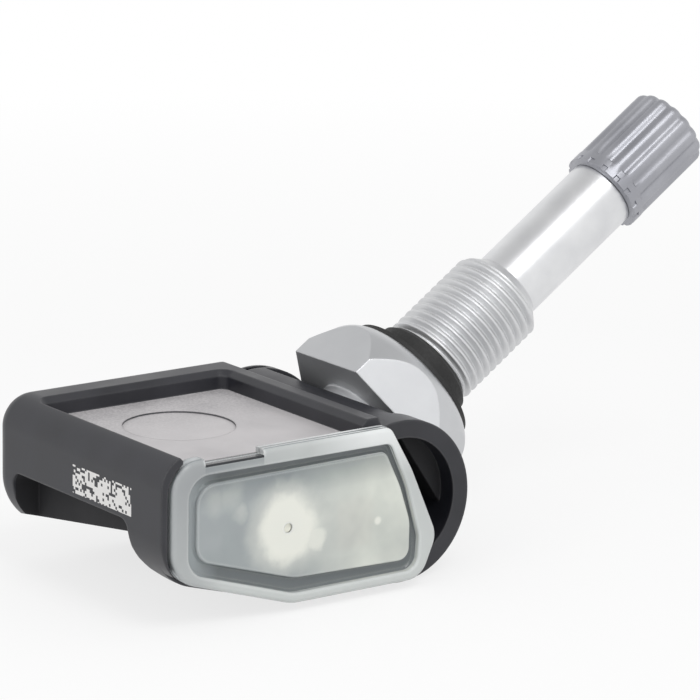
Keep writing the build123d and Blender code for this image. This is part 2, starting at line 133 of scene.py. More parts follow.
def all_of(tree, first, *others):
    """1 where every mask is 1."""
    for other in others:
        first = calc(tree, "MULTIPLY", first, other)
    return first


def noise(tree, place, scale, detail=2.0):
    """Soft random cloud, from 0 to 1."""
    cloud = tree.nodes.new("ShaderNodeTexNoise")
    feed(tree, place, cloud.inputs["Vector"])
    cloud.inputs["Scale"].default_value = scale
    cloud.inputs["Detail"].default_value = detail
    return cloud.outputs[0]


def remap(tree, value, low, high, to_low, to_high):
    """Carries a value from one range to another, held at the ends."""
    step = tree.nodes.new("ShaderNodeMapRange")
    feed(tree, value, step.inputs["Value"])
    step.inputs["From Min"].default_value = low
    step.inputs["From Max"].default_value = high
    step.inputs["To Min"].default_value = to_low
    step.inputs["To Max"].default_value = to_high
    return step.outputs["Result"]


def spread(tree, cloud, to_low, to_high):
    """Carries a cloud's usual range to another."""
    return remap(tree, cloud, 0.3, 0.7, to_low, to_high)


def tint(tree, share, first, second):
    """First colour, turning to the second as the share goes from 0 to 1."""
    mix = tree.nodes.new("ShaderNodeMix")
    mix.data_type = "RGBA"
    feed(tree, share, mix.inputs[0])
    feed(tree, first, mix.inputs[6])
    feed(tree, second, mix.inputs[7])
    return mix.outputs[2]


def soft_edges(tree, shader, height, strength, distance, edge=0.0):
    """Bump from a height, on edges that are a little rounded."""
    bump = tree.nodes.new("ShaderNodeBump")
    bump.inputs["Strength"].default_value = strength
    bump.inputs["Distance"].default_value = distance
    feed(tree, height, bump.inputs["Height"])
    if edge:
        rounding = tree.nodes.new("ShaderNodeBevel")
        rounding.samples = edge_samples
        rounding.inputs["Radius"].default_value = edge
        feed(tree, rounding.outputs["Normal"], bump.inputs["Normal"])
    feed(tree, bump.outputs["Normal"], shader.inputs["Normal"])


def new_group(name, inputs, outputs):
    """Empty shader group with number sockets."""
    group = bpy.data.node_groups.new(name, "ShaderNodeTree")
    for label in inputs:
        group.interface.new_socket(label, in_out="INPUT", socket_type="NodeSocketFloat")
    for label in outputs:
        group.interface.new_socket(label, in_out="OUTPUT", socket_type="NodeSocketFloat")
    return group, group.nodes.new("NodeGroupInput"), group.nodes.new("NodeGroupOutput")


def use_group(tree, group, **values):
    """Places a group in a material with its own values."""
    placed = tree.nodes.new("ShaderNodeGroup")
    placed.node_tree = group
    for label, value in values.items():
        placed.inputs[label].default_value = value
    return placed.outputs


mould_grain, grain_in, grain_out = new_group("mould_grain", ["Size"], ["Height", "Shade"])
grain_place = own_place(mould_grain)
grain_fine = noise(mould_grain, grain_place, 1.0, 3.0)
feed(mould_grain, grain_in.outputs["Size"], grain_fine.node.inputs["Scale"])
feed(mould_grain, grain_fine, grain_out.inputs["Height"])
feed(mould_grain, noise(mould_grain, grain_place, 180.0, 3.0), grain_out.inputs["Shade"])

# Share of a painted highlight along rounded edges, found from a bevel.
painted_edge_highlight, highlight_in, highlight_out = new_group("painted_edge_highlight", ["Radius", "Most"], ["Share"])
rounded = painted_edge_highlight.nodes.new("ShaderNodeBevel")
rounded.samples = edge_samples
feed(painted_edge_highlight, highlight_in.outputs["Radius"], rounded.inputs["Radius"])
facing = painted_edge_highlight.nodes.new("ShaderNodeVectorMath")
facing.operation = "DOT_PRODUCT"
feed(painted_edge_highlight, rounded.outputs["Normal"], facing.inputs[0])
feed(painted_edge_highlight, painted_edge_highlight.nodes.new("ShaderNodeNewGeometry").outputs["Normal"], facing.inputs[1])
edge_rise = remap(painted_edge_highlight, facing.outputs["Value"], flat_cosine, edge_cosine, 0.0, 1.0)
feed(painted_edge_highlight, highlight_in.outputs["Most"], edge_rise.node.inputs["To Max"])
feed(painted_edge_highlight, edge_rise, highlight_out.inputs["Share"])


def dress(node, finish):
    """Gives a CAD node its finish."""
    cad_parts[node].material_slots[0].material = finish


housing_finish, tree, shader = start_finish("housing_plastic")
grain = use_group(tree, mould_grain, Size=5200.0)
place = own_place(tree)
x, y, z = split(tree, place)
disc_floor = recess_floor - ejector_mark_depth
on_disc = within(tree, z, disc_floor - floor_slack, disc_floor + floor_slack)
on_floor = all_of(
    tree,
    calc(tree, "MAXIMUM", within(tree, z, recess_floor - floor_slack, recess_floor + floor_slack), on_disc),
    within(tree, x, recess_back, recess_front),
    within(tree, y, recess_left, recess_right),
)
cell = tree.nodes.new("ShaderNodeVectorMath")
cell.operation = "SNAP"
feed(tree, place, cell.inputs[0])
cell.inputs[1].default_value = (mark_cell, 1.0, mark_cell)
dice = tree.nodes.new("ShaderNodeTexWhiteNoise")
feed(tree, cell.outputs[0], dice.inputs["Vector"])
on_mark = all_of(
    tree,
    within(tree, x, *mark_field_x),
    within(tree, z, *mark_field_z),
    within(tree, y, left_side - skin, left_side + skin),
    calc(tree, "GREATER_THAN", dice.outputs["Value"], mark_gaps),
)
speck = noise(tree, place, 4200.0, 2.0)
cloud = noise(tree, place, 210.0, 4.0)
toward_back = remap(tree, x, *laser_fade_x, 0.62, 0.0)
laser_wear = calc(tree, "MULTIPLY", remap(tree, speck, 0.38, 0.62, 0.0, 1.0), toward_back)
laser_mix = calc(tree, "ADD", laser_wear, remap(tree, cloud, 0.35, 0.75, 0.0, 0.35))
laser_colour = tint(tree, laser_mix, laser_grey, laser_shade)
laser_colour = tint(tree, calc(tree, "MULTIPLY", on_disc, 0.2), laser_colour, laser_disc)
body_colour = tint(tree, spread(tree, grain["Shade"], 0.0, 1.0), housing_black, housing_grey)
# Painted shade: the pocket and the cradle's hollow are coloured nearly black where little light reaches, and
# made rougher.
shaded_pocket = all_of(
    tree,
    within(tree, x, *pocket_x),
    within(tree, y, *pocket_y),
    calc(tree, "LESS_THAN", z, pocket_top),
)
side_reach = calc(tree, "POWER", calc(tree, "SUBTRACT", y, cradle_axis.y), 2.0)
upright_reach = calc(tree, "POWER", calc(tree, "SUBTRACT", z, cradle_axis.z), 2.0)
in_hollow = all_of(
    tree,
    calc(tree, "LESS_THAN", calc(tree, "ADD", side_reach, upright_reach), hollow_radius ** 2),
    within(tree, x, *hollow_x),
)
shaded_pocket = calc(tree, "MAXIMUM", shaded_pocket, in_hollow)
# Painted highlight along the housing's edges, partly also edge wear: the edges are lightened.
edge_sheen = use_group(tree, painted_edge_highlight, Radius=edge_highlight_radius, Most=0.55)
body_colour = tint(tree, edge_sheen["Share"], body_colour, edge_wear_and_highlight)
body_colour = tint(tree, shaded_pocket, body_colour, pocket_painted_shade)
colour = tint(tree, on_floor, body_colour, laser_colour)
feed(tree, tint(tree, on_mark, colour, mark_white), shader.inputs["Base Color"])
satin = spread(tree, grain["Shade"], 0.36, 0.46)
rough = calc(tree, "ADD", satin, calc(tree, "MULTIPLY", on_floor, 0.18))
rough = calc(tree, "ADD", rough, calc(tree, "MULTIPLY", shaded_pocket, 0.35))
feed(tree, rough, shader.inputs["Roughness"])
soft_edges(tree, shader, grain["Height"], 0.12, 0.00004, edge_softness)


def show_only(piece):
    """Leaves one piece selected and active."""
    bpy.ops.object.select_all(action="DESELECT")
    piece.select_set(True)
    bpy.context.view_layer.objects.active = piece


def pick(piece, kind, wanted):
    """Selects the vertices, edges or faces for which wanted is true."""
    bpy.ops.object.mode_set(mode="EDIT")
    bpy.ops.mesh.select_mode(type=kind)
    bpy.ops.mesh.select_all(action="DESELECT")
    bpy.ops.object.mode_set(mode="OBJECT")
    for part in {"VERT": piece.data.vertices, "EDGE": piece.data.edges, "FACE": piece.data.polygons}[kind]:
        part.select = wanted(part)
    bpy.ops.object.mode_set(mode="EDIT")


def merged_copy(node, name):
    """Copy of a CAD node's mesh with its seams closed."""
    piece = bpy.data.objects.new(name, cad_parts[node].data.copy())
    bpy.context.scene.collection.objects.link(piece)
    show_only(piece)
    bpy.ops.object.mode_set(mode="EDIT")
    bpy.ops.mesh.select_all(action="SELECT")
    bpy.ops.mesh.remove_doubles(threshold=0.000002)
    bpy.ops.object.mode_set(mode="OBJECT")
    bpy.ops.mesh.customdata_custom_splitnormals_clear()
    return piece


def ringed_tube(name, around, rings, ends="NOTHING"):
    """Upright tube of height 1, with its wall parted into evenly spaced rings."""
    bpy.ops.object.select_all(action="DESELECT")
    bpy.ops.mesh.primitive_cylinder_add(
        vertices=around, radius=1.0, depth=1.0, end_fill_type=ends, location=(0, 0, 0.5)
    )
    tube = bpy.context.active_object
    tube.name = name
    bpy.ops.object.transform_apply(location=True, rotation=True, scale=True)

    def upright_edge(edge):
        low, high = (tube.data.vertices[index].co.z for index in edge.vertices)
        return abs(low - high) > 0.5

    pick(tube, "EDGE", upright_edge)
    bpy.ops.mesh.subdivide(number_cuts=rings - 2)
    bpy.ops.object.mode_set(mode="OBJECT")
    return tube


def turn_outwards(piece):
    """Merges a piece's doubled points and turns all its faces outwards."""
    show_only(piece)
    bpy.ops.object.mode_set(mode="EDIT")
    bpy.ops.mesh.select_all(action="SELECT")
    bpy.ops.mesh.remove_doubles(threshold=0.000001)
    bpy.ops.mesh.normals_make_consistent(inside=False)
    bpy.ops.object.mode_set(mode="OBJECT")


def smooth_faces(piece, degrees):
    """Smooth shading between sharp edges, with the flats kept flat."""
    show_only(piece)
    bpy.ops.object.shade_smooth_by_angle(angle=math.radians(degrees))
    bpy.ops.object.modifier_add(type="WEIGHTED_NORMAL")
    piece.modifiers[-1].keep_sharp = True
    bpy.ops.object.modifier_apply(modifier=piece.modifiers[-1].name)


def shape_with(piece, tool, operation):
    """Cuts a tool's shape out of a piece, or joins it on, and removes the tool."""
    show_only(piece)
    bpy.ops.object.modifier_add(type="BOOLEAN")
    cut = piece.modifiers[-1]
    cut.operation = operation
    cut.solver = "EXACT"
    cut.object = tool
    bpy.ops.object.modifier_apply(modifier=cut.name)
    bpy.data.objects.remove(tool)


def coat(piece, finish):
    """Gives a new piece its one finish."""
    piece.data.materials.clear()
    piece.data.materials.append(finish)


cradle_radius = 0.0088
foot_stations = (
    (0.0109, 0.00407), (0.0113, 0.00413), (0.0116, 0.00263),
    (0.0121, 0.00168), (0.0130, 0.00087), (0.0132, 0.00081),
)
foot_section = (
    (-0.0330, -0.00281), (-0.0157, -0.00785), (cradle_radius, -0.00785),
    (cradle_radius, -0.0200), (-0.0330, -0.0200),
)
foot_skin = 0.000003
foot_middle = 0.0121
guard_length = 0.006
foot_tool = ringed_tube("foot_tool", len(foot_section), len(foot_stations), "NGON")
for vertex in foot_tool.data.vertices:
    turn = math.atan2(vertex.co.y, vertex.co.x) - math.pi / 2
    corner = round(turn * len(foot_section) / (2 * math.pi))
    section_y, section_z = foot_section[corner % len(foot_section)]
    station_x, rise = foot_stations[round(vertex.co.z * (len(foot_stations) - 1))]
    vertex.co = cradle_axis + Vector((station_x, section_y, section_z + rise + foot_skin))
turn_outwards(foot_tool)
bpy.ops.object.select_all(action="DESELECT")
bpy.ops.mesh.primitive_cylinder_add(
    vertices=256, radius=cradle_radius + foot_skin, depth=guard_length,
    location=cradle_axis + Vector((foot_middle, 0, 0)), rotation=(0, math.pi / 2, 0),
)
cradle_guard = bpy.context.active_object
bpy.ops.object.transform_apply(location=True, rotation=True, scale=True)
shape_with(foot_tool, cradle_guard, "DIFFERENCE")
housing = merged_copy("housing", "moulded_housing")
shape_with(housing, foot_tool, "DIFFERENCE")
smooth_faces(housing, 30)
coat(housing, housing_finish)
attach(housing, "sensor")
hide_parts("housing")

# End cover
# Milky translucent plastic, welded over the housing's open end, with a raised rim and a moat round its pane.
# The thin moat lets the dark inside show, with painted shadow in its groove, and the pane lets the white
# port seal and the coil show through.
# A lip behind it clamps the board, and a notch in its top edge is where the melt was let in.
cover_front = 0.0175
pane_front = cover_front - 0.0004
moat_floor = cover_front - 0.0010
cover_back = cover_front - 0.0016
vent_radius = 0.0005
vent_wall = (vent_radius + 0.00004, vent_radius + 0.00006)
port_place = cradle_axis + Vector((0.0, -0.0162, 0.0003))
pip_glint_place = cradle_axis + Vector((0.0, -0.0048, -0.0007))
seen_through = (
    (0.0036, -0.0017, 0.0008, 0.0017, 0.80),
    (-0.0090, 0.0042, 0.0002, 0.0024, 0.20),
    (-0.0074, 0.0044, 0.0002, 0.0024, 0.22),
    (-0.0062, 0.0027, 0.0002, 0.0014, 0.26),
)
raggedness = 0.0022
seal_core = (0.0027, 0.0043)
seal_spread = (0.0036, 0.0062)
rim_painted_light = (0.56, 0.585, 0.575, 1)
rim_painted_shade = (0.32, 0.335, 0.345, 1)
rim_shadow = (0.20, 0.23, 0.24, 1)
edge_highlight_white = (0.84, 0.86, 0.86, 1)
pane_left = (0.44, 0.475, 0.485, 1)
pane_right = (0.84, 0.87, 0.795, 1)
pane_shade = (0.34, 0.37, 0.38, 1)
pane_glow = (0.96, 0.97, 0.89, 1)
moat_shadowed_milk = (0.22, 0.245, 0.255, 1)
moat_left = (0.46, 0.50, 0.515, 1)
moat_highlight_grey = (0.46, 0.475, 0.45, 1)
notch_painted_shadow = (0.02, 0.022, 0.026, 1)
notch_floor = cradle_axis.z + 0.0086
notch_side = (cradle_axis.y - 0.0268, cradle_axis.y - 0.0196)
notch_length = 0.004
notch_height = 0.002
notch_shadow_z = (cradle_axis.z + 0.0070, notch_floor)
pane_shadow_z = (cradle_axis.z + 0.0036, cradle_axis.z + 0.0074)
pane_fade_y = (port_place.y, port_place.y + 0.010)
rim_fade_y = (notch_side[0], notch_side[1] + 0.004)
rim_fade_z = (cradle_axis.z - 0.0060, cradle_axis.z + 0.0070)
left_end_y = (cradle_axis.y - 0.0275, cradle_axis.y - 0.0245)
right_end_y = (cradle_axis.y - 0.014, cradle_axis.y - 0.006)
top_edge_z = (cradle_axis.z + 0.004, cradle_axis.z + 0.008)


def spot(tree, place, middle, inner, outer):
    """1 within a radius of a point of the cover's face, fading to 0 further out."""
    flat = tree.nodes.new("ShaderNodeVectorMath")
    flat.operation = "MULTIPLY"
    feed(tree, place, flat.inputs[0])
    flat.inputs[1].default_value = (0.0, 1.0, 1.0)
    reach = tree.nodes.new("ShaderNodeVectorMath")
    reach.operation = "DISTANCE"
    feed(tree, flat.outputs[0], reach.inputs[0])
    reach.inputs[1].default_value = (0.0, middle.y, middle.z)
    fade = remap(tree, reach.outputs["Value"], inner, outer, 1.0, 0.0)
    fade.node.interpolation_type = "SMOOTHSTEP"
    return fade


cover_finish, tree, shader = start_finish("cover_plastic")
grain = use_group(tree, mould_grain, Size=2600.0)
place = own_place(tree)
x, y, z = split(tree, place)
on_rim = calc(tree, "GREATER_THAN", x, (cover_front + pane_front) / 2)
on_pane = within(tree, x, pane_front - skin, pane_front + skin)
in_moat = within(tree, x, moat_floor - skin, moat_floor + 3 * skin)
behind = calc(tree, "LESS_THAN", x, cover_back + skin)
in_vent = all_of(
    tree,
    calc(tree, "GREATER_THAN", spot(tree, place, port_place, *vent_wall), 0.5),
    within(tree, x, cover_back + skin, pane_front - skin),
)
swirl = remap(tree, noise(tree, place, 160.0, 3.0), 0.35, 0.7, 0.0, 1.0)
to_right = remap(tree, y, *pane_fade_y, 0.0, 1.0)
pane_colour = tint(tree, to_right, pane_left, pane_right)
pane_colour = tint(tree, calc(tree, "MULTIPLY", swirl, 0.38), pane_colour, pane_shade)
under_rim = remap(tree, z, *pane_shadow_z, 0.0, 0.85)
pane_colour = tint(tree, under_rim, pane_colour, rim_shadow)
ragged = tree.nodes.new("ShaderNodeVectorMath")
ragged.operation = "MULTIPLY_ADD"
feed(tree, noise(tree, place, 420.0, 3.0).node.outputs["Color"], ragged.inputs[0])
ragged.inputs[1].default_value = (raggedness, raggedness, raggedness)
feed(tree, place, ragged.inputs[2])
ragged_middle = port_place + Vector((raggedness, raggedness, raggedness)) / 2
core_glow = calc(tree, "MULTIPLY", spot(tree, ragged.outputs[0], ragged_middle, *seal_core), 0.58)
wide_glow = calc(tree, "MULTIPLY", spot(tree, ragged.outputs[0], ragged_middle, *seal_spread), 0.40)
glow = calc(tree, "ADD", core_glow, wide_glow)
for shift_y, shift_z, inner, outer, strength in seen_through:
    patch = spot(tree, ragged.outputs[0], ragged_middle + Vector((0.0, shift_y, shift_z)), inner, outer)
    glow = calc(tree, "MAXIMUM", glow, calc(tree, "MULTIPLY", patch, strength))
# A small painted glint on the pane.
glow = calc(tree, "MAXIMUM", glow, spot(tree, place, pip_glint_place, 0.0002, 0.0006))
pane_colour = tint(tree, glow, pane_colour, pane_glow)
rim_edge_highlight = use_group(tree, painted_edge_highlight, Radius=0.0006, Most=0.8)["Share"]
# Painted light and shade on the rim: lighter towards the bottom and the right, darker towards the top and
# the left end.
rim_light_to_shade = all_of(
    tree,
    remap(tree, z, *rim_fade_z, 0.0, 1.0),
    spread(tree, noise(tree, place, 130.0, 2.0), 0.75, 1.0),
    remap(tree, y, *rim_fade_y, 1.0, 0.35),
)
rim_colour = tint(tree, rim_light_to_shade, rim_painted_light, rim_painted_shade)
at_left = remap(tree, y, *left_end_y, 1.0, 0.0)
rim_colour = tint(tree, calc(tree, "MULTIPLY", at_left, 0.45), rim_colour, rim_painted_shade)
# Painted highlight along the rim's top edge towards the right.
at_right = remap(tree, y, *right_end_y, 0.0, 0.75)
at_top_right = calc(tree, "MULTIPLY", at_right, remap(tree, z, *top_edge_z, 0.0, 1.0))
rim_colour = tint(tree, at_top_right, rim_colour, edge_highlight_white)
# Painted shade on the rim below the notch, and a painted shadow on the notch's floor.
by_notch = within(tree, y, *notch_side)
under_notch = remap(tree, z, *notch_shadow_z, 0.0, 0.75)
rim_colour = tint(tree, calc(tree, "MULTIPLY", by_notch, under_notch), rim_colour, moat_shadowed_milk)
in_notch_shadow = all_of(tree, within(tree, z, notch_floor - 0.00022, notch_floor + 0.00004), by_notch)
colour = tint(tree, on_pane, rim_colour, pane_colour)
# Painted highlight along the rounded edges of the rim and the pane.
in_front = calc(tree, "MAXIMUM", on_rim, on_pane)
colour = tint(tree, all_of(tree, rim_edge_highlight, in_front), colour, edge_highlight_white)
colour = tint(tree, in_notch_shadow, colour, notch_painted_shadow)
# The moat's dark colour is partly painted shadow in the groove, and its rounded edges get a painted
# highlight.
moat_edge_highlight = use_group(tree, painted_edge_highlight, Radius=0.0007, Most=0.7)["Share"]
moat_colour = tint(tree, moat_edge_highlight, moat_shadowed_milk, moat_highlight_grey)
moat_colour = tint(tree, at_left, moat_colour, moat_left)
feed(tree, tint(tree, in_moat, colour, moat_colour), shader.inputs["Base Color"])
clear = calc(tree, "MULTIPLY", on_pane, 0.20)
clear = calc(tree, "ADD", clear, calc(tree, "MULTIPLY", in_moat, 0.25))
clear = calc(tree, "ADD", clear, calc(tree, "MULTIPLY", calc(tree, "MAXIMUM", behind, in_vent), 0.93))
feed(tree, calc(tree, "SUBTRACT", 1.0, clear), shader.inputs["Alpha"])
feed(tree, spread(tree, grain["Shade"], 0.14, 0.22), shader.inputs["Roughness"])
shader.inputs["Subsurface Weight"].default_value = 0.12
shader.inputs["Subsurface Radius"].default_value = (0.0012, 0.0013, 0.0013)
soft_edges(tree, shader, grain["Height"], 0.05, 0.00003, 0.00022)

outer_corners = (
    (-30.75, 9.2, 3.2), (-3.42, 9.2, 1.3), (-0.55, 4.3, 14.0), (2.85, -3.3, 2.7),
    (0.9, -7.85, 2.6), (-15.7, -7.85, 6.0), (-30.75, -3.1, 4.2),
)
rim_corners = (
    (-28.7, 7.5, 2.4), (-3.45, 7.45, 1.1), (-1.25, 2.6, 10.0), (0.45, -3.2, 3.0),
    (0.25, -6.7, 1.6), (-15.6, -6.7, 5.0), (-28.7, -2.55, 2.6),
)
pane_corners = (
    (-27.5, 6.4, 2.2), (-3.85, 6.55, 1.0), (-1.9, 2.6, 8.0), (-0.55, -1.4, 4.0),
    (-0.6, -5.6, 1.3), (-15.3, -5.2, 5.0), (-27.5, -1.5, 2.2),
)
millimetre = 0.001
outline_points = 320
arc_steps = 12
rim_steps = 6
wall_steps = 3
rim_edge = 0.0005
small_edge = 0.0002


def rounded_outline(rounded_corners):
    """Evenly spaced points along an outline, from corners in millimetres with their radii."""
    path = []
    for index, (side, height, radius) in enumerate(rounded_corners):
        corner = Vector((side, height))
        before = (Vector(rounded_corners[index - 1][:2]) - corner).normalized()
        after = (Vector(rounded_corners[(index + 1) % len(rounded_corners)][:2]) - corner).normalized()
        half = before.angle(after) / 2
        run_in = radius / math.tan(half)
        middle = corner + (before + after).normalized() * (radius / math.sin(half))
        start = corner + before * run_in - middle
        end = corner + after * run_in - middle
        for step in range(arc_steps + 1):
            path.append(middle + start.slerp(end, step / arc_steps).normalized() * radius)
    path.append(path[0])
    reach = [0.0]
    for first, second in zip(path, path[1:]):
        reach.append(reach[-1] + (second - first).length)
    points = []
    run = 0
    for number in range(outline_points):
        goal = reach[-1] * number / outline_points
        while reach[run + 1] < goal:
            run += 1
        share = (goal - reach[run]) / (reach[run + 1] - reach[run])
        points.append(path[run].lerp(path[run + 1], share) * millimetre)
    return points


def drawn_inwards(points, distance):
    """The outline with every point moved inwards."""
    moved = []
    for index, point in enumerate(points):
        along = points[(index + 1) % len(points)] - points[index - 1]
        moved.append(point + Vector((along.y, -along.x)).normalized() * distance)
    return moved


outer_line = rounded_outline(outer_corners)
rim_line = rounded_outline(rim_corners)
pane_line = rounded_outline(pane_corners)
vent_middle = Vector((port_place.y - cradle_axis.y, port_place.z - cradle_axis.z))
vent_line = [vent_middle + (point - vent_middle).normalized() * vent_radius for point in pane_line]
cover_rings = [(vent_line, cover_back), (outer_line, cover_back)]
for step in range(rim_steps + 1):
    turn = math.pi / 2 * step / rim_steps
    cover_rings.append((
        drawn_inwards(outer_line, rim_edge * (1 - math.cos(turn))),
        cover_front - rim_edge * (1 - math.sin(turn)),
    ))
for line, front, way in ((rim_line, cover_front, -1), (pane_line, pane_front, 1)):
    wall = []
    for step in range(wall_steps + 1):
        turn = math.pi / 2 * step / wall_steps
        wall.append((
            drawn_inwards(line, way * small_edge * (1 - math.sin(turn))),
            front - small_edge * (1 - math.cos(turn)),
        ))
    wall.append((line, moat_floor + small_edge))
    wall.append((drawn_inwards(line, -way * small_edge), moat_floor))
    cover_rings += wall if way < 0 else wall[::-1]
cover_rings += [(vent_line, pane_front), (vent_line, cover_back)]

cover = ringed_tube("milky_cover", outline_points, len(cover_rings))
for vertex in cover.data.vertices:
    line, depth = cover_rings[round(vertex.co.z * (len(cover_rings) - 1))]
    number = round(math.atan2(vertex.co.y, vertex.co.x) / (2 * math.pi) * outline_points)
    point = line[number % outline_points]
    vertex.co = (depth, cradle_axis.y + point.x, cradle_axis.z + point.y)
turn_outwards(cover)

lip_cut = cover_back - small_edge
lip = merged_copy("end_cover", "board_lip")
bpy.ops.object.mode_set(mode="EDIT")
bpy.ops.mesh.select_all(action="SELECT")
bpy.ops.mesh.bisect(
    plane_co=(lip_cut, 0, 0), plane_no=(1, 0, 0), use_fill=True, clear_outer=True, threshold=0.000001
)
bpy.ops.object.mode_set(mode="OBJECT")
pick(lip, "VERT", lambda vertex: vertex.co.x > lip_cut - small_edge * 0.1)
bpy.ops.transform.translate(value=(small_edge * 1.5, 0, 0))
bpy.ops.object.mode_set(mode="OBJECT")
turn_outwards(lip)
shape_with(cover, lip, "UNION")
bpy.ops.object.select_all(action="DESELECT")
bpy.ops.mesh.primitive_cube_add(size=1.0)
notch = bpy.context.active_object
notch.scale = (notch_length, notch_side[1] - notch_side[0], notch_height)
notch.location = (cover_front, (notch_side[0] + notch_side[1]) / 2, notch_floor + notch_height / 2)
bpy.ops.object.transform_apply(location=True, rotation=True, scale=True)
shape_with(cover, notch, "DIFFERENCE")
smooth_faces(cover, 35)
coat(cover, cover_finish)
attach(cover, "sensor")
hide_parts("end_cover")

# Port seal
# Cream white silicone disc, pressed between the sensor chip and the cover's vent, with a locating tab.
cream_dark = (0.86, 0.86, 0.74, 1)
cream_light = (0.92, 0.92, 0.84, 1)


def moulded_finish(name, grain_size, dark, light, rough, strength, distance):
    """Plain moulded material with a fine grain and a slight change of shade."""
    finish, tree, shader = start_finish(name)
    grain = use_group(tree, mould_grain, Size=grain_size)
    feed(tree, tint(tree, grain["Shade"], dark, light), shader.inputs["Base Color"])
    shader.inputs["Roughness"].default_value = rough
    soft_edges(tree, shader, grain["Height"], strength, distance)
    return finish


seal_finish = moulded_finish("white_seal", 1800.0, cream_dark, cream_light, 0.55, 0.1, 0.00003)
dress("port_seal", seal_finish)

# Vent membrane
# White porous film, welded across the vent a little way in, which lets air through and keeps water out.
film_radius = vent_radius - 0.00001
film_thickness = 0.0001
film_depth = 0.0003
film_weld = 0.00012
film_dish = 0.00005
bpy.ops.object.select_all(action="DESELECT")
bpy.ops.mesh.primitive_cylinder_add(
    vertices=48, radius=film_radius, depth=film_thickness,
    location=(pane_front - film_depth, port_place.y, port_place.z), rotation=(0, math.pi / 2, 0),
)
membrane = bpy.context.active_object
membrane.name = "vent_membrane"
bpy.ops.object.transform_apply(location=True, rotation=True, scale=True)
pick(membrane, "FACE", lambda face: face.normal.x > 0.9)
bpy.ops.mesh.inset(thickness=film_weld)
bpy.ops.transform.translate(value=(-film_dish, 0, 0))
bpy.ops.mesh.inset(thickness=film_weld)
bpy.ops.transform.translate(value=(-film_dish / 4, 0, 0))
bpy.ops.object.mode_set(mode="OBJECT")
bpy.ops.object.shade_smooth_by_angle(angle=math.radians(60))
coat(membrane, seal_finish)
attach(membrane, "sensor")

# Coil former and winding
# Pale moulded former with fine enamelled copper wire wound on its core, soldered to the board.
former_dark = (0.70, 0.74, 0.64, 1)
former_light = (0.80, 0.83, 0.74, 1)
dress("lf_coil", moulded_finish("coil_plastic", 2400.0, former_dark, former_light, 0.5, 0.1, 0.00003))

wire_pitch = 0.00012
wire_gap = (0.22, 0.07, 0.03, 1)
wire_copper = (0.72, 0.36, 0.20, 1)
copper_finish, tree, shader = start_finish("copper_wire")
winding_height = split(tree, own_place(tree))[2]
turns = calc(tree, "PINGPONG", winding_height, wire_pitch / 2)
turn_share = calc(tree, "DIVIDE", turns, wire_pitch / 2)
feed(tree, tint(tree, turn_share, wire_gap, wire_copper), shader.inputs["Base Color"])
shader.inputs["Metallic"].default_value = 0.9
shader.inputs["Roughness"].default_value = 0.32
soft_edges(tree, shader, turn_share, 0.6, 0.00005)
dress("coil_winding", copper_finish)

strip_dark = (0.62, 0.31, 0.18, 1)
strip_light = (0.78, 0.44, 0.27, 1)
strip_finish, tree, shader = start_finish("copper_strip")
place = own_place(tree)
feed(tree, tint(tree, noise(tree, place, 900.0, 4.0), strip_dark, strip_light), shader.inputs["Base Color"])
shader.inputs["Metallic"].default_value = 1.0
feed(tree, spread(tree, noise(tree, place, 2400.0), 0.24, 0.38), shader.inputs["Roughness"])
dress("rf_antenna", strip_finish)

# Circuit board and its chips
# Glass-fibre board with green solder mask over its tracks, clamped by the housing's shelf and the cover.
# The chips are black moulded packages, the crystal is a steel can and the small parts are ceramic.
lane_pitch = 0.00045
track_edge = 0.00028
mask_green = (0.04, 0.17, 0.10, 1)
track_green = (0.07, 0.26, 0.15, 1)
weave_green = (0.02, 0.09, 0.06, 1)
board_finish, tree, shader = start_finish("board")
place = own_place(tree)
x, y, z = split(tree, place)
lane = calc(tree, "PINGPONG", calc(tree, "ADD", y, z), lane_pitch)
track = calc(tree, "GREATER_THAN", lane, track_edge)
weave = calc(tree, "MULTIPLY", noise(tree, place, 3000.0, 2.0), 0.3)
mask_colour = tint(tree, track, mask_green, track_green)
feed(tree, tint(tree, weave, mask_colour, weave_green), shader.inputs["Base Color"])
shader.inputs["Roughness"].default_value = 0.35
soft_edges(tree, shader, track, 0.4, 0.00003)
dress("circuit_board", board_finish)

chip_dark = (0.025, 0.025, 0.027, 1)
chip_light = (0.05, 0.05, 0.052, 1)
dress("microcontroller", moulded_finish("chip_black", 9000.0, chip_dark, chip_light, 0.6, 0.2, 0.00002))

gel_dark = (0.74, 0.74, 0.68, 1)
gel_light = (0.84, 0.84, 0.78, 1)
dress("sensor_chip", moulded_finish("sensor_gel", 1500.0, gel_dark, gel_light, 0.3, 0.1, 0.00002))

ceramic_dark = (0.46, 0.36, 0.25, 1)
ceramic_light = (0.62, 0.52, 0.38, 1)
dress("chip_capacitors", moulded_finish("ceramic", 5000.0, ceramic_dark, ceramic_light, 0.45, 0.15, 0.00002))

steel_dark = (0.56, 0.56, 0.57, 1)
steel_light = (0.70, 0.70, 0.71, 1)
steel_finish, tree, shader = start_finish("bright_steel")
place = own_place(tree)
feed(tree, tint(tree, noise(tree, place, 700.0, 4.0), steel_dark, steel_light), shader.inputs["Base Color"])
shader.inputs["Metallic"].default_value = 1.0
brushed = noise(tree, place, 5000.0, 3.0)
feed(tree, spread(tree, brushed, 0.22, 0.36), shader.inputs["Roughness"])
soft_edges(tree, shader, brushed, 0.1, 0.00002)
steel_nodes = ("crystal", "coin_cell", "battery_tab_plus", "battery_tab_minus", "valve_screw", "core_spring")
for steel_node in steel_nodes:
    dress(steel_node, steel_finish)

